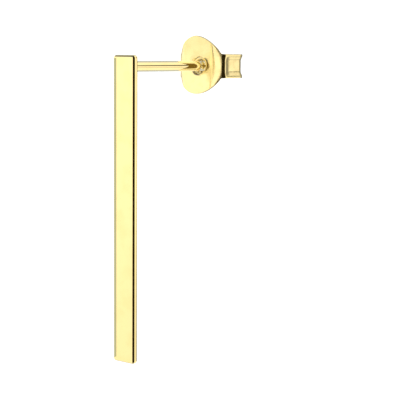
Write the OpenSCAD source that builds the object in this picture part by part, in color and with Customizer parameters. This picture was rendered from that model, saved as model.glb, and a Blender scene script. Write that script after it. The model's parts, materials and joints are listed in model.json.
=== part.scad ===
// Bar stud earring with its friction back, lying on its side.
// Millimetres. +Z is up, and the surface that it lies on is Z = 0.
// The bar lies along Y, and its post runs along +X, slightly uphill.
// Each piece is modelled level, with the post's axis along X and the
// bar's back face at X = 0, and is then tipped and set down as one.

/* [Bar] */
// Length of the bar
bar_length = 25; // [12:0.5:40]
// Width of the bar, across its polished face
bar_width = 2.2; // [1.6:0.1:3]
// Thickness of the bar, from its face to its back
bar_thickness = 0.65; // [0.65:0.05:1.2]
// Radius that polishing leaves on every edge of the bar
bar_edge_r = 0.25; // [0.1:0.05:0.3]

/* [Post] */
// Diameter of the post's wire
post_d = 0.86; // [0.7:0.02:0.9]
// Length of the post, from the bar's back to its tip
post_length = 11.8; // [11.8:0.1:13]
// Distance from the bar's top end down to the post's axis
post_below_top = 0.92; // [0.8:0.02:3]
// Radius of the solder's fillet at the foot of the post
solder_r = 0.12; // [0.05:0.01:0.15]
// Width of the round-floored notch that the back snaps into
notch_w = 0.6; // [0.55:0.05:0.7]
// Depth of the notch
notch_depth = 0.07; // [0.04:0.01:0.1]

/* [Friction back] */
// Free post between the bar and the disc
back_distance = 9; // [6:0.1:9]
// Height of the disc, along the bar
disc_height = 4.94; // [4.6:0.02:5.4]
// Width of the disc, measured along the bent sheet
disc_width = 5; // [4.8:0.05:5.2]
// Fullness of the disc's outline: 2 is an ellipse
disc_fullness = 1.85; // [1.6:0.05:2.2]
// How far the disc sits off the post's axis, towards the bar's top
disc_shift = 0.1; // [0:0.02:0.2]
// Thickness of the sheet
sheet_t = 0.28; // [0.2:0.02:0.3]
// Radius of the disc's slight bend in its middle, on its front
middle_bend_r = 12; // [10:0.5:14]
// Angle through which each side of the middle bends back
middle_bend_angle = 6; // [4:1:8]
// Radius of the closer bend towards the disc's edge
edge_bend_r = 2.2; // [1.9:0.1:2.6]
// Angle of that closer bend
edge_bend_angle = 27; // [24:1:28]
// Radius of the fold between the disc and each scroll's side, outside
fold_r = 0.5; // [0.42:0.02:0.6]
// Length of each scroll's straight side
side_length = 1.9; // [1.5:0.05:2]
// Length of the straight run that grips the post
grip_length = 0.8; // [0.4:0.05:0.9]
// Radius of the flare at each strip's end
flare_r = 0.6; // [0.5:0.05:0.8]
// Angle of that flare, away from the post
flare_angle = 45; // [20:5:50]
// Depth of the dish across the disc's height
disc_dish = 0.38; // [0:0.02:0.4]
// Width of the strips that form the scrolls
strip_width = 2.04; // [1.8:0.02:2.2]
// Depth of the groove pressed along each strip
groove_depth = 0.14; // [0.1:0.01:0.16]
// Gap between each strip's groove and the post
grip_gap = 0.06; // [0.03:0.01:0.1]
// Diameter of the hole for the post
hole_d = 1.16; // [1.16:0.02:1.3]
// Radius of the funnel pressed round the hole
funnel_r = 1.3; // [1.1:0.05:1.4]
// Depth of the funnel
funnel_depth = 0.3; // [0.2:0.05:0.5]

/* [Hidden] */
$fn = 64;
gold = "Khaki";
pale_gold = "LemonChiffon";
eps = 0.01;

// Where the sheet's outer face starts to run back, and how far the
// scroll's side and its grip on the post are from the post's axis
fold_angle = middle_bend_angle + edge_bend_angle;
fold_x = middle_bend_r - (middle_bend_r - edge_bend_r) * cos(middle_bend_angle)
    - (edge_bend_r - fold_r) * cos(fold_angle);
fold_z = (middle_bend_r - edge_bend_r) * sin(middle_bend_angle)
    + (edge_bend_r - fold_r) * sin(fold_angle);
side_z = fold_z + fold_r;
grip_z = post_d / 2 + grip_gap - groove_depth;
scroll_r = (side_z - grip_z) / 2;

// The path of the sheet's outer face from the middle of the disc to the
// end of a strip, seen along the bar. Each row is one run of it:
// [radius of the bend, or 0 if straight; angle turned, or length; steps]
RUNS = [
    [middle_bend_r, middle_bend_angle, 8],
    [edge_bend_r, edge_bend_angle, 9],
    [fold_r, 90 - fold_angle, 7],
    [0, side_length, 4],
    [scroll_r, 180, 20],
    [0, grip_length, 3],
    [flare_r, flare_angle, 4]
];
steps_across = 18;

// A state is [x, z, heading]: x back from the front of the disc, z across
// the bar, and the angle from z that the path heads in
function run_length(run) = run[0] > 0 ? run[0] * run[1] * PI / 180 : run[1];
function advance(state, run, d) =
    let (r = run[0], a = state[2], b = r > 0 ? a + d / r * 180 / PI : a)
    r > 0
        ? [state[0] + r * (cos(a) - cos(b)), state[1] + r * (sin(b) - sin(a)), b]
        : [state[0] + d * sin(a), state[1] + d * cos(a), a];

// The state a distance s along the path
function walk(s, k = 0, state = [0, 0, 0]) =
    let (whole = run_length(RUNS[k]))
    s <= whole || k == len(RUNS) - 1
        ? advance(state, RUNS[k], s)
        : walk(s - whole, k + 1, advance(state, RUNS[k], whole));

// Distances along the path at which the sheet has a row of points
function stations(k = 0, from = 0) =
    k == len(RUNS) ? [] :
    concat(
        [for (i = [1 : RUNS[k][2]]) from + i / RUNS[k][2] * run_length(RUNS[k])],
        stations(k + 1, from + run_length(RUNS[k]))
    );
one_side = stations();
last = len(one_side) - 1;
both_sides = concat([for (i = [0 : last]) -one_side[last - i]], [0], one_side);

// Smooth step from 0 to 1 between two edges
function ramp(from, to, at) =
    let (t = min(1, max(0, (at - from) / (to - from))))
    t * t * (3 - 2 * t);

// Half the sheet's height a distance s from the middle: the disc's
// outline, run smoothly into the strip's straight edge
neck_blend = 0.12;
function disc_half(s) =
    let (part = min(1, s / (disc_width / 2)))
    disc_height / 2 * pow(1 - pow(part, disc_fullness), 1 / disc_fullness);
function half_height(s) =
    let (d = disc_half(s), h = strip_width / 2)
    (d + h + sqrt((d - h) * (d - h) + neck_blend * neck_blend)) / 2;

// What is pressed into the sheet: the groove starts at the disc's edge,
// and the dish fades out there. Widths are fractions of the strip's half.
// The funnel steepens towards the hole.
groove_start = 0.99 * disc_width / 2;
groove_full = 1.3 * disc_width / 2;
dish_end = 0.95 * disc_width / 2;
dish_fade = 0.6 * disc_width / 2;
groove_floor = 0.44;
groove_rim = 0.88;
function groove(s, y) =
    groove_depth * ramp(groove_start, groove_full, s)
    * (1 - ramp(groove_floor, groove_rim, abs(y) / (strip_width / 2)));
function dish(s, y) =
    let (part = y / (disc_height / 2))
    -disc_dish * part * part * (1 - ramp(dish_fade, dish_end, s));
funnel_power = 4;
function funnel(s, y) =
    let (inward = (funnel_r - norm([s, y])) / (funnel_r - hole_d / 2))
    funnel_depth * pow(min(1, max(0, inward)), funnel_power);

// A point of the sheet, at depth d below its outer face
function sheet_point(s, across, d) =
    let (
        side = s < 0 ? -1 : 1,
        run = abs(s),
        state = walk(run),
        a = state[2],
        shift = disc_shift * max(0, 1 - run / (disc_width / 2)),
        y = across * half_height(run),
        in = d + groove(run, y),
        pressed = dish(run, y) + funnel(run, y)
    )
    [state[0] + in * cos(a) + pressed, y + shift, side * (state[1] - in * sin(a))];

// Outer face first, then the inner one
columns = len(both_sides);
rows = steps_across + 1;
sheet_points = [
    for (d = [0, sheet_t])
        for (s = both_sides)
            for (j = [0 : steps_across])
                sheet_point(s, 2 * j / steps_across - 1, d)
];
function at(face, i, j) = (face * columns + i) * rows + j;
// The cut edge below two neighbouring points of the outer face
function wall(p, q) = [p, q, q + columns * rows, p + columns * rows];
sheet_faces = [
    for (i = [0 : columns - 2])
        for (j = [0 : rows - 2])
            each [
                [at(0, i, j), at(0, i, j + 1), at(0, i + 1, j + 1)],
                [at(0, i, j), at(0, i + 1, j + 1), at(0, i + 1, j)],
                [at(1, i, j), at(1, i + 1, j + 1), at(1, i, j + 1)],
                [at(1, i, j), at(1, i + 1, j), at(1, i + 1, j + 1)]
            ],
    for (i = [0 : columns - 2])
        each [
            wall(at(0, i, 0), at(0, i + 1, 0)),
            wall(at(0, i + 1, rows - 1), at(0, i, rows - 1))
        ],
    for (j = [0 : rows - 2])
        each [
            wall(at(0, 0, j + 1), at(0, 0, j)),
            wall(at(0, columns - 1, j), at(0, columns - 1, j + 1))
        ]
];

// How it lies: on the bar's lower front edge and on the lower fold of the
// back. The tilt is that of the line that touches both round edges from
// below.
edge_x = -bar_thickness + bar_edge_r;
edge_z = -bar_width / 2 + bar_edge_r;
span_x = back_distance + fold_x - edge_x;
span_z = -fold_z - edge_z;
tilt = atan2(-span_z, span_x) + asin((fold_r - bar_edge_r) / norm([span_x, span_z]));
lift = bar_edge_r - (edge_x * sin(tilt) + edge_z * cos(tilt));

// The box of the part as it lies, so that the origin is at the middle of
// its base
tipped_x = [for (p = sheet_points) (p[0] + back_distance) * cos(tilt) - p[2] * sin(tilt)];
lying_x_min = edge_x * cos(tilt) + edge_z * sin(tilt) - bar_edge_r;
lying_x_max = max(tipped_x);
lying_y_min = post_below_top - bar_length;
lying_y_max = max([for (p = sheet_points) p[1]]);
middle = [(lying_x_min + lying_x_max) / 2, (lying_y_min + lying_y_max) / 2];

module lying() {
    translate([-middle[0], -middle[1], lift])
        rotate([0, -tilt, 0])
            children();
}

module rounded_rectangle(a, b, r) {
    square([a - 2 * r, b], center = true);
    square([a, b - 2 * r], center = true);
    for (i = [-1, 1])
        for (j = [-1, 1])
            translate([i * (a / 2 - r), j * (b / 2 - r)])
                circle(r);
}

// A block whose twelve edges are round: what three rounded outlines,
// one across each axis, have in common
module rounded_block(size, r) {
    intersection() {
        linear_extrude(size[2] + 1, center = true)
            rounded_rectangle(size[0], size[1], r);
        rotate([90, 0, 0])
            linear_extrude(size[1] + 1, center = true)
                rounded_rectangle(size[0], size[2], r);
        rotate([90, 0, 90])
            linear_extrude(size[0] + 1, center = true)
                rounded_rectangle(size[1], size[2], r);
    }
}

module bar() {
    translate([-bar_thickness / 2, post_below_top - bar_length / 2, 0])
        rounded_block([bar_thickness, bar_length, bar_width], bar_edge_r);
}

// The wire, with its round tip, and the notch where the funnel's edge
// snaps onto it. The notch's floor is an arc of radius notch_r.
notch_x = back_distance + funnel_depth / 2;
notch_r = (notch_w * notch_w / 4 + notch_depth * notch_depth) / (2 * notch_depth);
module post() {
    r = post_d / 2;
    root = bar_thickness / 2;
    rotate([0, 90, 0])
        difference() {
            union() {
                translate([0, 0, -root])
                    cylinder(h = post_length - r + root, r = r);
                translate([0, 0, post_length - r])
                    sphere(r);
            }
            translate([0, 0, notch_x])
                rotate_extrude()
                    translate([r - notch_depth + notch_r, 0])
                        circle(notch_r);
        }
}

// The fillet that the solder leaves where the post meets the bar
module solder() {
    r = post_d / 2;
    rotate([0, 90, 0])
        rotate_extrude()
            difference() {
                translate([r / 2, -eps])
                    square([r / 2 + solder_r, solder_r + eps]);
                translate([r + solder_r, solder_r])
                    circle(solder_r);
            }
}

module bar_with_post() {
    color(gold)
        lying() {
            bar();
            post();
            solder();
        }
}

module butterfly_back() {
    color(pale_gold)
        lying()
            translate([back_distance, 0, 0])
                difference() {
                    polyhedron(points = sheet_points, faces = sheet_faces, convexity = 8);
                    rotate([0, 90, 0])
                        translate([0, 0, -1])
                            cylinder(h = 2.4, r = hole_d / 2);
                }
}

bar_with_post();
butterfly_back();
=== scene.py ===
# %% [markdown]
# # A polished bar stud earring
#
# The earring is two pieces: a slim gold bar with a wire post soldered to its
# back, and a friction back, which is one strip of thin sheet pressed into a
# disc with two scrolls that spring onto the post. The construction model
# gives the real sizes and the place of both. This script makes the pieces
# that are looked at: cleanly rounded, finely pressed and polished.

# %% Load the frame
import json
import math

import bmesh
import bpy
from mathutils import Matrix, Vector


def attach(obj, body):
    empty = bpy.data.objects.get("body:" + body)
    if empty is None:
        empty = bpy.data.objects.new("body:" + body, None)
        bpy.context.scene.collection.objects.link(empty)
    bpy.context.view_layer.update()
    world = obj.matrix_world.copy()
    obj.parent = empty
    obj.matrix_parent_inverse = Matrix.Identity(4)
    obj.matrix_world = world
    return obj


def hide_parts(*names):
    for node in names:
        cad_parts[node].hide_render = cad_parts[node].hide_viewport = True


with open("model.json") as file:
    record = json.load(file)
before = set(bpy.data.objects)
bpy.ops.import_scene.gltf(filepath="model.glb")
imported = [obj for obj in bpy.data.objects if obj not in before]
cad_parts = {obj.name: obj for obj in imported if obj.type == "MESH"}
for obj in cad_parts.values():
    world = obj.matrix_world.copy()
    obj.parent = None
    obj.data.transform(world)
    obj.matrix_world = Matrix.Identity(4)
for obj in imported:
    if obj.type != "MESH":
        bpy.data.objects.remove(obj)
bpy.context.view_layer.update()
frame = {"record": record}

# %% [markdown]
# ## A level bench to work on
#
# The earring lies tipped on its side, which is an awkward way to model it.
# It would be possible to work out every point in its lying place. It is
# simpler to model on a level bench, in millimetres, with X back along the
# post, Y up the bar and Z across it, and to set each finished mesh down
# with one matrix. The record's mount gives that matrix: it says where the
# middle of the free post is and which way the post points.

# %% The bench and its matrix
SOLDER_R = 0.12
NOTCH_X = 9.15
NOTCH_WIDTH = 0.6
MILLIMETRE = 0.001

post_mount = frame["record"]["mounts"][0]
post_way = Vector(post_mount["axis"]).normalized()
free_middle = (SOLDER_R + NOTCH_X - NOTCH_WIDTH / 2) / 2
bar_back = Vector(post_mount["pos_m"]) - post_way * free_middle * MILLIMETRE
tilt = math.atan2(post_way.z, post_way.x)
SET_DOWN = (
    Matrix.Translation(bar_back)
    @ Matrix.Rotation(-tilt, 4, "Y")
    @ Matrix.Scale(MILLIMETRE, 4)
)
turn = SET_DOWN.to_3x3().normalized()
print(f"the post runs {math.degrees(tilt):.2f} degrees uphill")


def put_in_scene(name, data):
    """A new object for a mesh or a camera, linked into the scene."""
    placed = bpy.data.objects.new(name, data)
    bpy.context.scene.collection.objects.link(placed)
    return placed


def set_down(mesh, name):
    """A finished bench mesh becomes an object in its lying place."""
    mesh.transform(SET_DOWN)
    return put_in_scene(name, mesh)


# %% [markdown]
# ## The camera
#
# The photograph looks at the bar three-quarters from the front and a little
# from above its post. One camera was fitted to the bar's edges and to the
# outline of the back. Its numbers are angles and distances about the foot
# of the post, so they are written on the bench's axes and then set down as
# the pieces are. Because the earring lies on its side, the camera stands
# above the floor and is rolled, so that the bar is upright in the picture.

# %% Set up the camera
ROUND_THE_BAR = math.radians(38)
ABOVE_THE_POST = math.radians(7.1446)
CAMERA_ROLL = math.radians(0.4906)
# Millimetres on the bench, from the foot of the post
CAMERA_DISTANCE = 96.2865
AIM_RIGHT = 5.8
AIM_UP = -10.6769
# Millimetres in the camera
LENS = 107.248
SENSOR = 36
# Metres
CLIP_START = 0.002

towards_camera = Vector((
    -math.cos(ROUND_THE_BAR) * math.cos(ABOVE_THE_POST),
    math.sin(ABOVE_THE_POST),
    math.sin(ROUND_THE_BAR) * math.cos(ABOVE_THE_POST),
))
bench_up = Vector((0, 1, 0))
level_right = (-towards_camera).cross(bench_up).normalized()
level_up = level_right.cross(-towards_camera)
picture_right = level_right * math.cos(CAMERA_ROLL) + level_up * math.sin(CAMERA_ROLL)
picture_up = level_up * math.cos(CAMERA_ROLL) - level_right * math.sin(CAMERA_ROLL)
aim = level_right * AIM_RIGHT + bench_up * AIM_UP
camera_place = SET_DOWN @ (aim + towards_camera * CAMERA_DISTANCE)
camera_axes = Matrix((turn @ picture_right, turn @ picture_up, turn @ towards_camera)).transposed()

camera = put_in_scene("camera", bpy.data.cameras.new("camera"))
camera.data.sensor_width = SENSOR
camera.data.lens = LENS
camera.data.clip_start = CLIP_START
camera.matrix_world = Matrix.Translation(camera_place) @ camera_axes.to_4x4()
bpy.context.scene.camera = camera
camera_height = math.degrees(math.asin((turn @ towards_camera).z))
print(f"the camera looks down at {camera_height:.1f} degrees")

# %% [markdown]
# ## Helpers for node trees
#
# Geometry and shader trees are both long lists of nodes and links. One
# helper places a node and fills its sockets: a value that is a socket is
# linked, and any other value is set. A few more name the sums that come up
# again and again, so that each tree reads as a formula.


# %% Place a node and fill its sockets
def add_node(tree, kind, *values, **settings):
    """A new node: settings are its properties, values its input sockets in order."""
    node = tree.nodes.new(kind)
    for name, value in settings.items():
        setattr(node, name, value)
    for socket, value in zip(node.inputs, values):
        if isinstance(value, bpy.types.NodeSocket):
            tree.links.new(value, socket)
        elif value is not None:
            socket.default_value = value
    return node


def calculate(tree, operation, *values):
    """The result of one sum on plain numbers."""
    return add_node(tree, "ShaderNodeMath", *values, operation=operation).outputs[0]


def product(tree, *factors):
    """Two or more numbers multiplied together, in their order."""
    result = factors[0]
    for factor in factors[1:]:
        result = calculate(tree, "MULTIPLY", result, factor)
    return result


def smooth_step(tree, value, start, end, low=0.0, high=1.0):
    """From low to high, with an easy start and end, as value goes from start to end."""
    node = add_node(
        tree, "ShaderNodeMapRange", value, start, end, low, high, interpolation_type="SMOOTHSTEP"
    )
    return node.outputs[0]


def mix_numbers(tree, share, start, end):
    """From one number to another as share goes from 0 to 1."""
    return add_node(tree, "ShaderNodeMix", share, None, start, end, data_type="FLOAT").outputs[0]


def mix_colours(tree, share, start, end):
    """The same for colours, whose sockets come after five others in the Mix node."""
    others = [None] * 5
    return add_node(tree, "ShaderNodeMix", share, *others, start, end, data_type="RGBA").outputs[2]


# %% [markdown]
# ## Finish: what polishing leaves
#
# Plated and polished silver is nearly a mirror, and what makes it look real
# is what keeps it from being a perfect one. The buff leaves very fine
# parallel marks. Handling adds a few faint hairlines in other directions.
# The ground metal is never quite flat, so long reflections sway a little.
# These effects are shared by both pieces at different strengths, so each
# one is a node group. A painted texture could do the same, but noise in
# the object's own space has no seams and costs nothing to store.


# %% Sockets and noise for the groups
def group_output(group, name, kind="NodeSocketFloat"):
    """Adds a named output to a node group."""
    group.interface.new_socket(name, in_out="OUTPUT", socket_type=kind)


def group_input(group, name, value, kind="NodeSocketFloat"):
    """Adds a named input, with its usual value, to a node group."""
    socket = group.interface.new_socket(name, in_out="INPUT", socket_type=kind)
    socket.default_value = value


def noise(group, place, scale, detail):
    """Smooth noise between 0 and 1 at a place in the object's own space."""
    node = add_node(group, "ShaderNodeTexNoise", noise_dimensions="3D")
    group.links.new(place, node.inputs["Vector"])
    group.links.new(scale, node.inputs["Scale"])
    node.inputs["Detail"].default_value = detail
    return node.outputs[0]


# %% A group for buffing marks
HAIRLINE_TURN = (0.5, 0.9, 0.35)
HAIRLINE_STRETCH = (0.12, 1, 1)
# Where the noise rises from the first level to the second, a hairline starts
HAIRLINE_EDGES = (0.64, 0.72)


def buffing_marks():
    """Height: fine marks along one axis, and hairlines at a slant."""
    group = bpy.data.node_groups.new("buffing_marks", "ShaderNodeTree")
    group_input(group, "Along", (1, 1, 1), "NodeSocketVector")
    group_input(group, "Fineness", 1.0)
    group_input(group, "Hairlines", 0.5)
    group_output(group, "Height")
    group_output(group, "Hairline mask")
    given = group.nodes.new("NodeGroupInput")
    place = add_node(group, "ShaderNodeTexCoord").outputs["Object"]
    stretched = add_node(
        group, "ShaderNodeVectorMath", place, given.outputs["Along"], operation="MULTIPLY"
    ).outputs[0]
    marks = noise(group, stretched, given.outputs["Fineness"], detail=4)
    slant = add_node(group, "ShaderNodeMapping", stretched)
    slant.inputs["Rotation"].default_value = HAIRLINE_TURN
    slant.inputs["Scale"].default_value = HAIRLINE_STRETCH
    lines = noise(group, slant.outputs[0], given.outputs["Fineness"], detail=1)
    cut = product(group, smooth_step(group, lines, *HAIRLINE_EDGES), given.outputs["Hairlines"])
    out = group.nodes.new("NodeGroupOutput")
    group.links.new(calculate(group, "SUBTRACT", marks, cut), out.inputs["Height"])
    group.links.new(cut, out.inputs["Hairline mask"])
    return group


# %% A group for the slow sway of hand-ground metal
# The duller places are finer than the waves by this much
DULL_FINENESS = 2.7
DULL_EDGES = (0.42, 0.68)


def metal_sway():
    """Height of broad, shallow undulations, and a mask of slightly duller places."""
    group = bpy.data.node_groups.new("metal_sway", "ShaderNodeTree")
    group_input(group, "Scale", 300.0)
    group_output(group, "Height")
    group_output(group, "Dull mask")
    given = group.nodes.new("NodeGroupInput")
    place = add_node(group, "ShaderNodeTexCoord").outputs["Object"]
    waves = noise(group, place, given.outputs["Scale"], detail=0)
    finer = product(group, given.outputs["Scale"], DULL_FINENESS)
    breath = noise(group, place, finer, detail=2)
    out = group.nodes.new("NodeGroupOutput")
    group.links.new(waves, out.inputs["Height"])
    group.links.new(smooth_step(group, breath, *DULL_EDGES), out.inputs["Dull mask"])
    return group


MARKS = buffing_marks()
SWAY = metal_sway()
print("finish groups:", MARKS.name, SWAY.name)

# %% [markdown]
# ## Finish: pale yellow gold
#
# The plating is a pale 14 to 18 carat yellow. A metal's colour is the colour
# of its reflections, so the base colour is what the white table looks like
# in it. The bar is mirror polished. The pressed back is bright, but a
# little softer, because it is only tumbled after it is pressed. Gold that
# is reflected in gold turns orange, and does so less in the real thing than
# it would here, so a reflection is shown a paler gold.

# %% Make a gold from the shared groups
GOLD_LIGHT = (1.0, 0.81, 0.375, 1)
GOLD_DEEP = (0.98, 0.78, 0.345, 1)
GOLD_AGAIN = (1.0, 0.92, 0.68, 1)
HAIRLINE_ROUGHNESS = 0.12


def bump(tree, height, depth, below=None):
    """A normal from a height that is depth metres high, over the normal below it."""
    node = add_node(tree, "ShaderNodeBump")
    node.inputs["Distance"].default_value = depth
    tree.links.new(height, node.inputs["Height"])
    if below is not None:
        tree.links.new(below, node.inputs["Normal"])
    return node.outputs[0]


def gold(
    name, roughness, dull_roughness, along, fineness, hairlines, mark_depth, sway_scale, sway_depth
):
    """A polished gold. Depths are in metres, fineness and scale in waves to the metre."""
    material = bpy.data.materials.new(name)
    material.use_nodes = True
    tree = material.node_tree
    surface = tree.nodes["Principled BSDF"]
    surface.inputs["Metallic"].default_value = 1
    marks = add_node(tree, "ShaderNodeGroup", along, fineness, hairlines, node_tree=MARKS)
    sway = add_node(tree, "ShaderNodeGroup", sway_scale, node_tree=SWAY)
    dull = sway.outputs["Dull mask"]
    reflected = add_node(tree, "ShaderNodeLightPath").outputs["Is Glossy Ray"]
    seen = mix_colours(tree, dull, GOLD_LIGHT, GOLD_DEEP)
    tree.links.new(mix_colours(tree, reflected, seen, GOLD_AGAIN), surface.inputs["Base Color"])
    breath = smooth_step(tree, dull, 0.0, 1.0, roughness, dull_roughness)
    scratched = marks.outputs["Hairline mask"]
    rough = calculate(tree, "MULTIPLY_ADD", scratched, HAIRLINE_ROUGHNESS, breath)
    tree.links.new(rough, surface.inputs["Roughness"])
    broad = bump(tree, sway.outputs["Height"], sway_depth)
    fine = bump(tree, marks.outputs["Height"], mark_depth, broad)
    tree.links.new(fine, surface.inputs["Normal"])
    return material


POLISHED_GOLD = gold(
    "polished_gold_finish", roughness=0.05, dull_roughness=0.09, along=(1, 0.06, 1),
    fineness=9000, hairlines=0.5, mark_depth=2e-7, sway_scale=260, sway_depth=3e-6,
)
PRESSED_GOLD = gold(
    "pressed_gold_finish", roughness=0.15, dull_roughness=0.21, along=(1, 1, 1),
    fineness=5200, hairlines=0.35, mark_depth=5e-7, sway_scale=520, sway_depth=6e-6,
)
print("materials:", POLISHED_GOLD.name, PRESSED_GOLD.name)

# %% [markdown]
# ## The bar and its post
#
# The real bar is a drawn rectangular wire, cut, filed and polished until
# every edge is round. A polished flat shows any fault in its shading, so
# the mesh has to keep the flats truly flat right up to their roundings. A
# bevelled box alone would bend the light across each face. Here each flat
# gets a narrow frame of its own inside its edge, which holds the shading
# flat.

# %% A rounded block with framed flats
BAR_LENGTH = 25
BAR_WIDTH = 2.2
BAR_THICKNESS = 0.65
BAR_EDGE_R = 0.25
BAR_EDGE_STEPS = 10
FLAT_FRAME = 0.012


def rounded_block(bm, size, middle, radius):
    """Adds a box with round edges, and returns its six flats."""
    made = bmesh.ops.create_cube(bm, size=1)
    bmesh.ops.scale(bm, vec=size, verts=made["verts"])
    bmesh.ops.translate(bm, vec=middle, verts=made["verts"])
    bmesh.ops.bevel(
        bm, geom=bm.edges[:], offset=radius, offset_type="OFFSET", segments=BAR_EDGE_STEPS,
        profile=0.5, affect="EDGES", clamp_overlap=True,
    )
    flats = sorted(bm.faces, key=lambda face: -face.calc_area())[:6]
    bmesh.ops.inset_individual(bm, faces=flats, thickness=FLAT_FRAME)
    return flats


# %% [markdown]
# The post, the fillet of solder at its foot, the shallow notch that the back
# snaps into and the round tip could be four pieces. Turned from one profile,
# as on a lathe, they have no seams. Each straight length gets a ring close
# to both of its ends, for the same reason as the bar's flats get frames.

# %% The turned profile of the post
POST_R = 0.43
POST_LENGTH = 11.8
NOTCH_DEPTH = 0.07
FOOT_STEPS = 10
NOTCH_STEPS = 12
TIP_STEPS = 16
KEEP_STRAIGHT = 0.03


def arc(centre, radius, start, end, steps):
    """Points of an arc, as (x, r), from one angle to another in degrees."""
    points = []
    for i in range(steps + 1):
        angle = math.radians(start + (end - start) * i / steps)
        points.append((centre[0] + radius * math.cos(angle), centre[1] + radius * math.sin(angle)))
    return points


def straight(start, end):
    """Two points that hold the post straight between one point and another."""
    return [(start[0] + KEEP_STRAIGHT, POST_R), (end[0] - KEEP_STRAIGHT, POST_R)]


def post_profile():
    """(x, r) from the flange on the bar's back to the middle of the tip."""
    foot = arc((SOLDER_R, POST_R + SOLDER_R), SOLDER_R, 180, 270, FOOT_STEPS)
    notch_r = (NOTCH_WIDTH**2 / 4 + NOTCH_DEPTH**2) / (2 * NOTCH_DEPTH)
    half_angle = math.degrees(math.asin(NOTCH_WIDTH / 2 / notch_r))
    notch_centre = (NOTCH_X, POST_R - NOTCH_DEPTH + notch_r)
    notch = arc(notch_centre, notch_r, 270 - half_angle, 270 + half_angle, NOTCH_STEPS)
    tip = arc((POST_LENGTH - POST_R, 0), POST_R, 90, 0, TIP_STEPS)
    return foot + straight(foot[-1], notch[0]) + notch + straight(notch[-1], tip[0]) + tip[:-1]


print("the post's profile has", len(post_profile()), "points")


# %% Turn a profile about X
TURNED_SIDES = 64


def turned(bm, profile, end_x):
    """Rings for each point of the profile, closed at end_x; returns the first ring."""
    rings = []
    for x, r in profile:
        ring = []
        for i in range(TURNED_SIDES):
            angle = 2 * math.pi * i / TURNED_SIDES
            ring.append(bm.verts.new((x, r * math.cos(angle), r * math.sin(angle))))
        rings.append(ring)
    for near, far in zip(rings, rings[1:]):
        for i in range(TURNED_SIDES):
            j = (i + 1) % TURNED_SIDES
            bm.faces.new((near[i], near[j], far[j], far[i]))
    pole = bm.verts.new((end_x, 0, 0))
    for i in range(TURNED_SIDES):
        bm.faces.new((rings[-1][i], rings[-1][(i + 1) % TURNED_SIDES], pole))
    return rings[0]


# %% [markdown]
# A soldered joint has no gap, so the bar and its post are one closed skin.
# A boolean union would make that too, with slivers where they meet. Instead
# the flat at the bar's back is taken off, and filled again round the flange
# that the post starts from.

# %% Grow the post out of the bar's back
POST_BELOW_TOP = 0.92


def finish_mesh(bm, mesh):
    """Points every face outwards, makes the shading smooth and writes the mesh."""
    bmesh.ops.recalc_face_normals(bm, faces=bm.faces[:])
    for face in bm.faces:
        face.smooth = True
    bm.to_mesh(mesh)
    open_edges = sum(1 for edge in bm.edges if not edge.is_manifold)
    volume = bm.calc_volume()
    print(f"{mesh.name}: {len(bm.faces)} faces, {volume:.1f} mm3, {open_edges} open edges")
    bm.free()
    return mesh


def bar_and_post():
    """The bar and the post as one mesh on the bench."""
    bm = bmesh.new()
    middle = (-BAR_THICKNESS / 2, POST_BELOW_TOP - BAR_LENGTH / 2, 0)
    flats = rounded_block(bm, (BAR_THICKNESS, BAR_LENGTH, BAR_WIDTH), middle, BAR_EDGE_R)
    back = max(flats, key=lambda face: face.calc_center_median().x)
    rim = list(back.edges)
    bmesh.ops.delete(bm, geom=[back], context="FACES_ONLY")
    flange = (0, POST_R + SOLDER_R + 2 * FLAT_FRAME)
    seat = turned(bm, [flange] + post_profile(), POST_LENGTH)
    ring = [bm.edges.get((seat[i], seat[(i + 1) % TURNED_SIDES])) for i in range(TURNED_SIDES)]
    bmesh.ops.triangle_fill(bm, edges=rim + ring, use_beauty=True, normal=(1, 0, 0))
    return finish_mesh(bm, bpy.data.meshes.new("bar_stud"))


bar_stud = set_down(bar_and_post(), "bar_stud")
bar_stud.data.materials.append(POLISHED_GOLD)

# %% [markdown]
# ## The friction back
#
# A press cuts a flat blank with an oval middle and two strips, dishes the
# middle, presses a groove along each strip and a funnel round the hole, and
# then rolls the strips back into scrolls. The disc stays nearly flat in its
# middle and bends closer towards its sides. Every point of the sheet follows
# from how far along the strip it is and how far across, so this is a piece
# for Geometry Nodes. The tree sweeps a rounded slice of the sheet along
# the strip's path, and then moves each point by the same rules that the
# press tools follow. Modelling it face by face would make the scrolls hard
# to keep even, and none of the sizes could be changed later.

# %% The path of the strip
MIDDLE_BEND_R = 12
MIDDLE_BEND_ANGLE = 6
OUTER_BEND_R = 2.2
OUTER_BEND_ANGLE = 27
FOLD_R = 0.5
SIDE_LENGTH = 1.9
GRIP_LENGTH = 0.8
FLARE_R = 0.6
FLARE_ANGLE = 45
GROOVE_DEPTH = 0.14
GRIP_GAP = 0.06

middle_sine = math.sin(math.radians(MIDDLE_BEND_ANGLE))
fold_heading = MIDDLE_BEND_ANGLE + OUTER_BEND_ANGLE
fold_sine = math.sin(math.radians(fold_heading))
side_z = (
    (MIDDLE_BEND_R - OUTER_BEND_R) * middle_sine + (OUTER_BEND_R - FOLD_R) * fold_sine + FOLD_R
)
grip_z = POST_R + GRIP_GAP - GROOVE_DEPTH
scroll_r = (side_z - grip_z) / 2
# Each run is (radius, or 0 if it is straight; angle or length; steps)
RUNS = (
    (MIDDLE_BEND_R, MIDDLE_BEND_ANGLE, 20),
    (OUTER_BEND_R, OUTER_BEND_ANGLE, 20),
    (FOLD_R, 90 - fold_heading, 14),
    (0, SIDE_LENGTH, 12),
    (scroll_r, 180, 60),
    (0, GRIP_LENGTH, 6),
    (FLARE_R, FLARE_ANGLE, 12),
)


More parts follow.
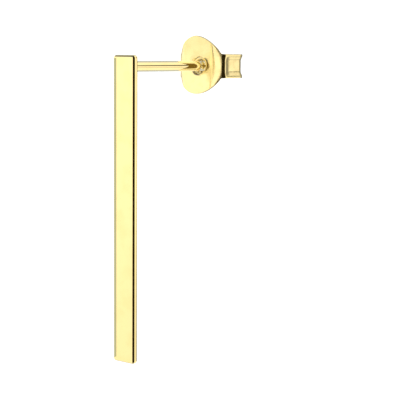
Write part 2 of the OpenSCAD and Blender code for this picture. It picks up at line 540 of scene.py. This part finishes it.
def strip_path():
    """(x, z, heading, distance) from the middle of the disc to the strip's end."""
    x, z, heading, distance = 0.0, 0.0, 0.0, 0.0
    path = [(x, z, heading, distance)]
    for radius, size, steps in RUNS:
        step = (radius * math.radians(size) if radius else size) / steps
        turned_by = step / radius if radius else 0
        chord = 2 * radius * math.sin(turned_by / 2) if radius else step
        for _ in range(steps):
            x += chord * math.sin(heading + turned_by / 2)
            z += chord * math.cos(heading + turned_by / 2)
            heading += turned_by
            distance += step
            path.append((x, z, heading, distance))
    return path


stations = strip_path()
print(f"each strip is {stations[-1][3]:.2f} mm long, its scroll {scroll_r:.2f} mm in radius")

# %% [markdown]
# The path becomes a chain of points with three notes on each: how far along
# it is, which way is into the sheet, and how much of its thickness the
# slice keeps. Past each end, a few extra points close the sheet with a
# round edge, as tumbling leaves it.

# %% Write the path as a chain with notes on its points
SHEET_T = 0.28
END_STEPS = 5


def chain_points():
    """(x, z, inward x, inward z, distance, share of thickness) for one side."""
    points = []
    for x, z, heading, distance in stations:
        points.append((x, z, math.cos(heading), -math.sin(heading), distance, 1.0))
    x, z, heading, distance = stations[-1]
    for i in range(1, END_STEPS + 1):
        angle = math.pi / 2 * i / END_STEPS
        past = SHEET_T / 2 * math.sin(angle)
        ahead = (x + past * math.sin(heading), z + past * math.cos(heading))
        share = math.cos(angle) if i < END_STEPS else 0.0
        points.append((*ahead, math.cos(heading), -math.sin(heading), distance, share))
    return points


def chain_mesh(name, points, notes, closed=False):
    """A mesh of edges through the points, with a named value of each note on each."""
    mesh = bpy.data.meshes.new(name)
    count = len(points)
    edges = [(i, i + 1) for i in range(count - 1)]
    if closed:
        edges.append((count - 1, 0))
    mesh.from_pydata(points, edges, [])
    for note, (kind, values) in notes.items():
        layer = mesh.attributes.new(note, kind, "POINT")
        if kind == "FLOAT_VECTOR":
            layer.data.foreach_set("vector", [number for value in values for number in value])
        else:
            layer.data.foreach_set("value", values)
    return mesh


one_side = chain_points()
both_sides = [(p, -1) for p in reversed(one_side[1:])] + [(p, 1) for p in one_side]
path_mesh = chain_mesh(
    "strip_path",
    [(p[0], 0, side * p[1]) for p, side in both_sides],
    {
        "inward": ("FLOAT_VECTOR", [(p[2], 0, side * p[3]) for p, side in both_sides]),
        "along": ("FLOAT", [p[4] for p, side in both_sides]),
        "share": ("FLOAT", [p[5] for p, side in both_sides]),
    },
)
print("the path has", len(both_sides), "points")

# %% [markdown]
# The slice is a thin rectangle with round edges. Its flat part runs from -1
# to 1, to be stretched to the sheet's height at each place, and its round
# edges keep their true size, so the tree adds them afterwards. They are
# kept apart as two notes, across and beyond.

# %% Write the slice of the sheet
ACROSS_STEPS = 64
EDGE_R = 0.06
EDGE_ROUND_STEPS = 5


def slice_points():
    """(across, beyond, depth) round the slice: outer face, edge, inner face, edge."""
    points = []
    for side in (1, -1):
        face_depth = 0 if side > 0 else SHEET_T
        for i in range(ACROSS_STEPS + 1):
            points.append((side * (2 * i / ACROSS_STEPS - 1), 0.0, face_depth))
        for corner, centre in enumerate((EDGE_R, SHEET_T - EDGE_R)):
            for i in range(EDGE_ROUND_STEPS + 1):
                # The two faces already hold the edge's first point and its last
                if (corner, i) in ((0, 0), (1, EDGE_ROUND_STEPS)):
                    continue
                angle = math.radians(90 * corner + 90 * i / EDGE_ROUND_STEPS)
                depth = centre - EDGE_R * math.cos(angle)
                if side < 0:
                    depth = SHEET_T - depth
                points.append((side, side * EDGE_R * math.sin(angle), depth))
    return points


slice_ring = slice_points()
slice_mesh = chain_mesh(
    "sheet_slice",
    [(across + beyond, depth, 0) for across, beyond, depth in slice_ring],
    {
        "across": ("FLOAT", [p[0] for p in slice_ring]),
        "beyond": ("FLOAT", [p[1] for p in slice_ring]),
        "depth": ("FLOAT", [p[2] for p in slice_ring]),
    },
    closed=True,
)
print("the slice has", len(slice_ring), "points")

# %% [markdown]
# ## The press tools, as a node tree
#
# The rules are short. The sheet's half height is the disc's outline, a
# superellipse, run smoothly into the strip. The groove starts at the fold,
# where the dish has faded out. The funnel steepens towards the hole. Each
# of them is one small function that adds its nodes, so that the tree can
# be read as the press tools are: blank, groove, dish, funnel.

# %% Sizes that the tree takes as inputs
BACK_SIZES = {
    "Disc height": 4.94,
    "Disc width": 5.0,
    "Fullness": 1.85,
    "Disc shift": 0.1,
    "Strip width": 2.04,
    "Neck blend": 0.12,
    "Groove depth": GROOVE_DEPTH,
    "Dish": 0.38,
    "Hole diameter": 1.16,
    "Funnel radius": 1.3,
    "Funnel depth": 0.3,
    "Sheet thickness": SHEET_T,
    "Edge radius": EDGE_R,
}
print("the tree takes", len(BACK_SIZES), "sizes")


# %% The blank's outline
def half_height(tree, sizes, along):
    """Half the sheet's height, a distance along from the middle of the disc."""
    half_width = product(tree, sizes["Disc width"], 0.5)
    part = calculate(tree, "MINIMUM", calculate(tree, "DIVIDE", along, half_width), 1.0)
    left = calculate(tree, "SUBTRACT", 1.0, calculate(tree, "POWER", part, sizes["Fullness"]))
    root = calculate(tree, "POWER", left, calculate(tree, "DIVIDE", 1.0, sizes["Fullness"]))
    disc = product(tree, root, product(tree, sizes["Disc height"], 0.5))
    strip = product(tree, sizes["Strip width"], 0.5)
    # The larger of disc and strip, rounded off where they are nearly equal
    apart = calculate(tree, "SUBTRACT", disc, strip)
    blend = product(tree, sizes["Neck blend"], sizes["Neck blend"])
    rounded = calculate(tree, "SQRT", calculate(tree, "MULTIPLY_ADD", apart, apart, blend))
    both = calculate(tree, "ADD", disc, strip)
    return product(tree, calculate(tree, "ADD", both, rounded), 0.5)


# %% The groove, the dish and the funnel
# Where the groove starts and where it is full, in half widths of the disc
# along the strip
GROOVE_STARTS = (0.99, 1.3)
# Where its wall starts and ends, in half widths of the strip across it
GROOVE_WALL = (0.44, 0.88)
# Where the dish starts to fade and where it is gone, in half widths of the disc
DISH_FADES = (0.6, 0.95)
FUNNEL_POWER = 4.0


def groove(tree, sizes, along, height):
    """How far the groove is pressed into the sheet."""
    half_width = product(tree, sizes["Disc width"], 0.5)
    start, full = (product(tree, half_width, share) for share in GROOVE_STARTS)
    starts = smooth_step(tree, along, start, full)
    strip = product(tree, sizes["Strip width"], 0.5)
    part = calculate(tree, "DIVIDE", calculate(tree, "ABSOLUTE", height), strip)
    across = smooth_step(tree, part, *GROOVE_WALL, 1.0, 0.0)
    return product(tree, starts, across, sizes["Groove depth"])


def dish(tree, sizes, along, height):
    """How far the dish moves the disc back: below zero, as its rim comes forwards."""
    half_width = product(tree, sizes["Disc width"], 0.5)
    fade, end = (product(tree, half_width, share) for share in DISH_FADES)
    fades = smooth_step(tree, along, fade, end, 1.0, 0.0)
    part = calculate(tree, "DIVIDE", height, product(tree, sizes["Disc height"], 0.5))
    return product(tree, part, part, fades, product(tree, sizes["Dish"], -1.0))


def funnel(tree, sizes, along, height):
    """How far the funnel moves the disc back round the hole."""
    square = calculate(tree, "MULTIPLY_ADD", height, height, product(tree, along, along))
    from_hole = calculate(tree, "SQRT", square)
    hole_r = product(tree, sizes["Hole diameter"], 0.5)
    reach = calculate(tree, "SUBTRACT", sizes["Funnel radius"], hole_r)
    outward = calculate(tree, "DIVIDE", calculate(tree, "SUBTRACT", from_hole, hole_r), reach)
    inward = calculate(tree, "SUBTRACT", 1.0, outward)
    clamped = calculate(tree, "MINIMUM", calculate(tree, "MAXIMUM", inward, 0.0), 1.0)
    return product(tree, calculate(tree, "POWER", clamped, FUNNEL_POWER), sizes["Funnel depth"])


# %% Sweep the slice along the path
def noted(tree, name, kind="FLOAT"):
    """A note that the chains carry, read back as a field."""
    return add_node(tree, "GeometryNodeInputNamedAttribute", name, data_type=kind).outputs[0]


def sweep(tree, path, sheet_slice):
    """The swept skin, with the path's own place kept as a field."""
    path_curve = add_node(tree, "GeometryNodeMeshToCurve", path).outputs[0]
    kept = add_node(tree, "GeometryNodeCaptureAttribute", path_curve)
    kept.capture_items.new("VECTOR", "spine")
    tree.links.new(add_node(tree, "GeometryNodeInputPosition").outputs[0], kept.inputs[1])
    slice_curve = add_node(tree, "GeometryNodeMeshToCurve", sheet_slice).outputs[0]
    skin = add_node(tree, "GeometryNodeCurveToMesh")
    tree.links.new(kept.outputs[0], skin.inputs["Curve"])
    tree.links.new(slice_curve, skin.inputs["Profile Curve"])
    return skin.outputs[0], kept.outputs[1]


# %% Press every point to its place
def vector_sum(tree, one, other):
    """One vector added to another."""
    return add_node(tree, "ShaderNodeVectorMath", one, other, operation="ADD").outputs[0]


def pressed_place(tree, sizes, spine):
    """Where each point of the swept skin belongs, as a field."""
    along = noted(tree, "along")
    share = noted(tree, "share")
    reach = calculate(tree, "SUBTRACT", half_height(tree, sizes, along), sizes["Edge radius"])
    edge = product(tree, noted(tree, "beyond"), share)
    height = calculate(tree, "MULTIPLY_ADD", noted(tree, "across"), reach, edge)
    middle = product(tree, sizes["Sheet thickness"], 0.5)
    from_middle = calculate(tree, "SUBTRACT", noted(tree, "depth"), middle)
    depth = calculate(tree, "MULTIPLY_ADD", from_middle, share, middle)
    into = calculate(tree, "ADD", depth, groove(tree, sizes, along, height))
    dished = dish(tree, sizes, along, height)
    back = calculate(tree, "ADD", dished, funnel(tree, sizes, along, height))
    half_width = product(tree, sizes["Disc width"], 0.5)
    inner = calculate(tree, "SUBTRACT", 1.0, calculate(tree, "DIVIDE", along, half_width))
    on_disc = calculate(tree, "MAXIMUM", inner, 0.0)
    up = calculate(tree, "MULTIPLY_ADD", on_disc, sizes["Disc shift"], height)
    inward = add_node(
        tree, "ShaderNodeVectorMath", noted(tree, "inward", "FLOAT_VECTOR"), operation="SCALE"
    )
    tree.links.new(into, inward.inputs["Scale"])
    pushed = add_node(tree, "ShaderNodeCombineXYZ", back, up, 0.0).outputs[0]
    return vector_sum(tree, vector_sum(tree, spine, inward.outputs[0]), pushed)


# %% The whole tree
MERGE_DISTANCE = 0.0008


def friction_back_tree():
    """Geometry Nodes that sweep and press the sheet, with an input for each size."""
    tree = bpy.data.node_groups.new("friction_back_press", "GeometryNodeTree")
    tree.interface.new_socket("Path", in_out="INPUT", socket_type="NodeSocketGeometry")
    tree.interface.new_socket("Slice", in_out="INPUT", socket_type="NodeSocketObject")
    for name, value in BACK_SIZES.items():
        group_input(tree, name, value)
    tree.interface.new_socket("Finish", in_out="INPUT", socket_type="NodeSocketMaterial")
    group_output(tree, "Back", "NodeSocketGeometry")
    given = tree.nodes.new("NodeGroupInput")
    sizes = {name: given.outputs[name] for name in BACK_SIZES}
    slice_given = add_node(tree, "GeometryNodeObjectInfo", given.outputs["Slice"])
    skin, spine = sweep(tree, given.outputs["Path"], slice_given.outputs["Geometry"])
    placed = add_node(tree, "GeometryNodeSetPosition", skin)
    tree.links.new(pressed_place(tree, sizes, spine), placed.inputs["Position"])
    merged = add_node(tree, "GeometryNodeMergeByDistance", placed.outputs[0])
    merged.inputs["Distance"].default_value = MERGE_DISTANCE
    real = add_node(tree, "GeometryNodeRealizeInstances", merged.outputs[0])
    finished = add_node(tree, "GeometryNodeSetMaterial", real.outputs[0])
    tree.links.new(given.outputs["Finish"], finished.inputs["Material"])
    out = tree.nodes.new("NodeGroupOutput")
    tree.links.new(finished.outputs[0], out.inputs["Back"])
    return tree


# %% [markdown]
# The tree runs as a modifier on an object that holds the path. The export
# wants plain meshes, so the result is copied into a mesh of its own, and
# the objects that were only there to make it are removed.

# %% Run the tree and keep its mesh
def plain_mesh(source, name, tool):
    """What an object's modifier makes with a tool, as a mesh; both objects go."""
    graph = bpy.context.evaluated_depsgraph_get()
    mesh = bpy.data.meshes.new_from_object(source.evaluated_get(graph))
    mesh.name = name
    for used in (source, tool):
        bpy.data.objects.remove(used)
    return mesh


def pressed_sheet():
    """The sheet, pressed and rolled, with no hole yet."""
    slice_holder = put_in_scene("sheet_slice", slice_mesh)
    blank = put_in_scene("strip_path", path_mesh)
    press = blank.modifiers.new("press", "NODES")
    press.node_group = friction_back_tree()
    inputs = {item.name: item.identifier for item in press.node_group.interface.items_tree}
    press[inputs["Slice"]] = slice_holder
    press[inputs["Finish"]] = PRESSED_GOLD
    for size, value in BACK_SIZES.items():
        press[inputs[size]] = value
    return plain_mesh(blank, "pressed_sheet", slice_holder)


sheet = pressed_sheet()
print("pressed sheet:", len(sheet.vertices), "points,", len(sheet.polygons), "faces")

# %% [markdown]
# ## The hole
#
# The hole is punched, and its rim is drawn over by the funnel tool, so it is
# round and not sharp. A straight cutter would leave a sharp rim to bevel
# afterwards. A cutter that is waisted like an hourglass leaves the round
# rim by itself.

# %% Punch the hole with a waisted cutter
CUTTER_REACH = 0.5
WAIST_STEPS = 16


def waisted_cutter():
    """A solid of revolution about X whose waist leaves a round rim in the sheet."""
    rim_r = SHEET_T / 2
    centre = BACK_SIZES["Funnel depth"] + rim_r
    waist = BACK_SIZES["Hole diameter"] / 2
    neck = arc((centre, waist + rim_r), rim_r, 180, 360, WAIST_STEPS)
    front, back = centre - CUTTER_REACH, centre + CUTTER_REACH
    bm = bmesh.new()
    first = turned(bm, [(front, neck[0][1])] + neck + [(back, neck[-1][1])], back)
    pole = bm.verts.new((front, 0, 0))
    for i in range(TURNED_SIDES):
        bm.faces.new((first[(i + 1) % TURNED_SIDES], first[i], pole))
    return finish_mesh(bm, bpy.data.meshes.new("cutter"))


def punched(mesh):
    """The sheet with its hole cut through."""
    blank = put_in_scene("blank", mesh)
    cut = blank.modifiers.new("hole", "BOOLEAN")
    cut.operation = "DIFFERENCE"
    cut.solver = "EXACT"
    cut.object = put_in_scene("cutter", waisted_cutter())
    return plain_mesh(blank, "friction_back", cut.object)


def tidied(mesh):
    """The same mesh with its slivers merged and its skin closed."""
    bm = bmesh.new()
    bm.from_mesh(mesh)
    bmesh.ops.remove_doubles(bm, verts=bm.verts[:], dist=MERGE_DISTANCE)
    return finish_mesh(bm, mesh)


back_mesh = tidied(punched(sheet))

# %% [markdown]
# The sheet was pressed with its middle at the foot of the post. It slides
# out along the post to its place, and is then set down as the bar was. The
# notes have done their work, and come off the mesh.

# %% Put the back on the post
BACK_DISTANCE = 9.0

back_mesh.transform(Matrix.Translation((BACK_DISTANCE, 0, 0)))
for note in ("inward", "along", "share", "across", "beyond", "depth"):
    if note in back_mesh.attributes:
        back_mesh.attributes.remove(back_mesh.attributes[note])
friction_back = set_down(back_mesh, "friction_back")
print("the back sits", BACK_DISTANCE, "mm behind the bar")

# %% [markdown]
# ## Join the pieces to the frame
#
# Each piece stands for one node of the construction model and moves with
# its body: the bar and post with the stud, and the pressed sheet with the
# back, which slides along the post.

# %% Tell the frame what each piece is
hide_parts("bar_with_post")
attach(bar_stud, "stud")
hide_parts("butterfly_back")
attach(friction_back, "back")
print("pieces:", bar_stud.name, "and", friction_back.name)

# %% [markdown]
# ## The table
#
# The earring is shot high-key, on a glowing white table. The table could be
# seen in the gold too, but the sky below it draws the gold better, so the
# table is kept out of the reflections.

# %% The white table
TABLE_SIZE = 2.0
TABLE_COLOUR = (0.8, 0.8, 0.8, 1)
TABLE_ROUGHNESS = 0.9
TABLE_GLOW = 0.95
WHITE = (1, 1, 1, 1)


def glowing(name, colour, roughness, glow_colour, glow):
    """A plain material for the studio, with light of its own."""
    material = bpy.data.materials.new(name)
    material.use_nodes = True
    surface = material.node_tree.nodes["Principled BSDF"]
    surface.inputs["Base Color"].default_value = colour
    surface.inputs["Roughness"].default_value = roughness
    surface.inputs["Emission Color"].default_value = glow_colour
    surface.inputs["Emission Strength"].default_value = glow
    return material


def white_table():
    """A wide white surface at the height that the earring lies on."""
    bpy.ops.mesh.primitive_plane_add(size=TABLE_SIZE, location=(0, 0, 0))
    table = bpy.context.object
    table.name = "table"
    finish = glowing("white_table", TABLE_COLOUR, TABLE_ROUGHNESS, WHITE, TABLE_GLOW)
    table.data.materials.append(finish)
    table.visible_glossy = False


white_table()
print("the table is", TABLE_SIZE, "m across")

# %% [markdown]
# The bar's left edge rests on the table, and in the dim gap there it loses
# the light: that draws the thin line along it. With the table kept out of
# the reflections, a card of painted shade just under the table stands for
# the shade in the gap: it is seen only in reflections, and paints that line.

# %% Painted shade: a card for the dark gap under the bar
# Millimetres on the bench, from the bar's back and inside its ends
CARD_FROM = -1.1
CARD_TO = 0.2
CARD_END = 0.25
# Metres under the table
CARD_BELOW = 0.0001
# The card's near-black colour and dim cool glow are painted shade for the gap under the bar
SHADE_CARD_COLOUR = (0.02, 0.02, 0.02, 1)
CARD_ROUGHNESS = 1.0
SHADE_CARD_GLOW_COLOUR = (0.78, 0.92, 1.0, 1)
CARD_GLOW = 0.62


def dark_card():
    """A card of painted shade along the bar's lower edge, seen in reflections alone."""
    low = -BAR_LENGTH + POST_BELOW_TOP + CARD_END
    high = POST_BELOW_TOP - CARD_END
    corners = []
    for x, y in ((CARD_FROM, low), (CARD_TO, low), (CARD_TO, high), (CARD_FROM, high)):
        corner = SET_DOWN @ Vector((x, y, -BAR_WIDTH / 2))
        corners.append((corner.x, corner.y, -CARD_BELOW))
    mesh = bpy.data.meshes.new("dark_card")
    mesh.from_pydata(corners, [], [(0, 1, 2, 3)])
    # This material is painted shade, standing for the shade in the gap under the bar
    finish = glowing("painted_gap_shade", SHADE_CARD_COLOUR, CARD_ROUGHNESS, SHADE_CARD_GLOW_COLOUR, CARD_GLOW)
    mesh.materials.append(finish)
    card = put_in_scene("dark_card", mesh)
    for seen_by in ("visible_camera", "visible_diffuse", "visible_transmission", "visible_shadow"):
        setattr(card, seen_by, False)


dark_card()
print(f"the card under the bar is {CARD_TO - CARD_FROM:.1f} mm wide")

# %% [markdown]
# ## The studio
#
# A mirror has no shade of its own, so what is round it is what draws it: a
# tall white window in front and below, a dimmer one behind and above, and a
# black ceiling between them. The front window fills the face of the bar and
# the disc, the black ceiling draws the dark line along the bar's near edge,
# and the grey beyond the windows draws the thin rims. The black is a little
# warm and the grey a little cool, as those lines are, and after a second
# reflection the black is only brown. Lamps and cards would do it too, but a
# sky whose light follows from its direction has no parts to place.
#
# Directions are taken on the bench, where the bar's face and the post are
# square: an angle round the bar's long axis, up from straight in front, and
# how far the direction leans along the bar. Each window is then a pair of
# soft steps.

# %% The lights and where they are
KEY_LIGHT = 1.32
KEY_LOW_END = 1.14
FILL_LIGHT = 1.2
DIM_LIGHT = 0.3
GREY_BEHIND = 0.42
GREY_BESIDE = 0.75
GREY_FRONT = 0.2
BLACK = 0.018
BLACK_TWICE = 0.2
# The sky itself counts as a bounce, so light of depth 3 was reflected twice
ONCE_TO_TWICE = 2.5
# The tints of the black ceiling and of the grey room
WARM = (1, 0.72, 0.2, 1)
COOL = (0.84, 0.95, 1.2, 1)
# Where each window starts or ends, in degrees up from straight in front
KEY_FROM = (-114, -90)
KEY_TO = (25, 30)
FILL_FROM = (108, 120)
# Behind the earring the rear window dims towards its middle
DIM_FROM = (146, 156)
# The rest are sines. The front window ends towards the bar's top end, and is
# a little dimmer towards its lower end. The rear one ends towards both ends
KEY_END = (0.4, 0.62)
KEY_DIMS = (-0.3, 0.02)
FILL_ENDS = (0.75, 0.95)
# The steps from straight across the bar to its ends, and from front to back
BESIDE = (0.32, 0.5)
BEHIND = (-0.1, 0.35)
# Soft dark patches in the rear window: (direction, degrees, light)
PATCHES = (
    ((0.788, 0.15, 0.597), (4, 9), 0.04),
    ((0.775, -0.27, 0.575), (4, 10), 0.74),
)


# %% The room and its windows
def dot_with(tree, direction, way):
    """How far a direction leans towards a way, as a cosine."""
    node = add_node(tree, "ShaderNodeVectorMath", direction, tuple(way), operation="DOT_PRODUCT")
    return node.outputs["Value"]


def degrees_step(tree, angle, edges, low=0.0, high=1.0):
    """From low to high as an angle in radians passes two edges in degrees."""
    return smooth_step(tree, angle, math.radians(edges[0]), math.radians(edges[1]), low, high)


def grey_beyond(tree, back, ends):
    """The light of the room beyond the windows, more behind and to the sides."""
    behind = smooth_step(tree, ends, *BESIDE, GREY_BEHIND, GREY_BESIDE)
    return mix_numbers(tree, smooth_step(tree, back, *BEHIND), GREY_FRONT, behind)


def front_window(tree, angle, along):
    """Where the front window is, from 0 to 1, and its light."""
    share = product(
        tree,
        degrees_step(tree, angle, KEY_FROM),
        degrees_step(tree, angle, KEY_TO, 1.0, 0.0),
        smooth_step(tree, along, *KEY_END, 1.0, 0.0),
    )
    return share, smooth_step(tree, along, *KEY_DIMS, KEY_LOW_END, KEY_LIGHT)


def rear_window(tree, direction, angle, ends):
    """Where the rear window is, and its light."""
    inside = smooth_step(tree, ends, *FILL_ENDS, 1.0, 0.0)
    share = product(tree, degrees_step(tree, angle, FILL_FROM), inside)
    middle = smooth_step(tree, ends, *BESIDE, 1.0, 0.0)
    dim = product(tree, degrees_step(tree, angle, DIM_FROM), middle)
    level = mix_numbers(tree, dim, FILL_LIGHT, DIM_LIGHT)
    for way, edges, light in PATCHES:
        off = calculate(tree, "ARCCOSINE", dot_with(tree, direction, turn @ Vector(way).normalized()))
        level = product(tree, level, degrees_step(tree, off, edges, light, 1.0))
    return share, level


def black_ceiling(tree, angle):
    """Where the ceiling between the windows is, and its light."""
    above = degrees_step(tree, angle, KEY_TO)
    share = product(tree, above, degrees_step(tree, angle, FILL_FROM, 1.0, 0.0))
    depth = add_node(tree, "ShaderNodeLightPath").outputs["Ray Depth"]
    twice = calculate(tree, "GREATER_THAN", depth, ONCE_TO_TWICE)
    return share, mix_numbers(tree, twice, BLACK, BLACK_TWICE)


# %% Light by direction
def studio_world():
    """A sky whose light and tint follow from the direction."""
    world = bpy.data.worlds.new("studio")
    world.use_nodes = True
    tree = world.node_tree
    sky = tree.nodes["Background"]
    direction = add_node(tree, "ShaderNodeTexCoord").outputs["Generated"]
    back, along, over = (
        dot_with(tree, direction, turn @ Vector(axis)) for axis in ((1, 0, 0), (0, 1, 0), (0, 0, 1))
    )
    angle = calculate(tree, "ARCTAN2", over, product(tree, back, -1.0))
    ends = calculate(tree, "ABSOLUTE", along)
    light, tint = grey_beyond(tree, back, ends), COOL
    for (share, level), colour in (
        (front_window(tree, angle, along), WHITE),
        (rear_window(tree, direction, angle, ends), WHITE),
        (black_ceiling(tree, angle), WARM),
    ):
        light = mix_numbers(tree, share, light, level)
        tint = mix_colours(tree, share, tint, colour)
    tree.links.new(light, sky.inputs["Strength"])
    tree.links.new(tint, sky.inputs["Color"])
    bpy.context.scene.world = world


studio_world()
bpy.context.scene.view_settings.view_transform = "Standard"
print("studio is set")
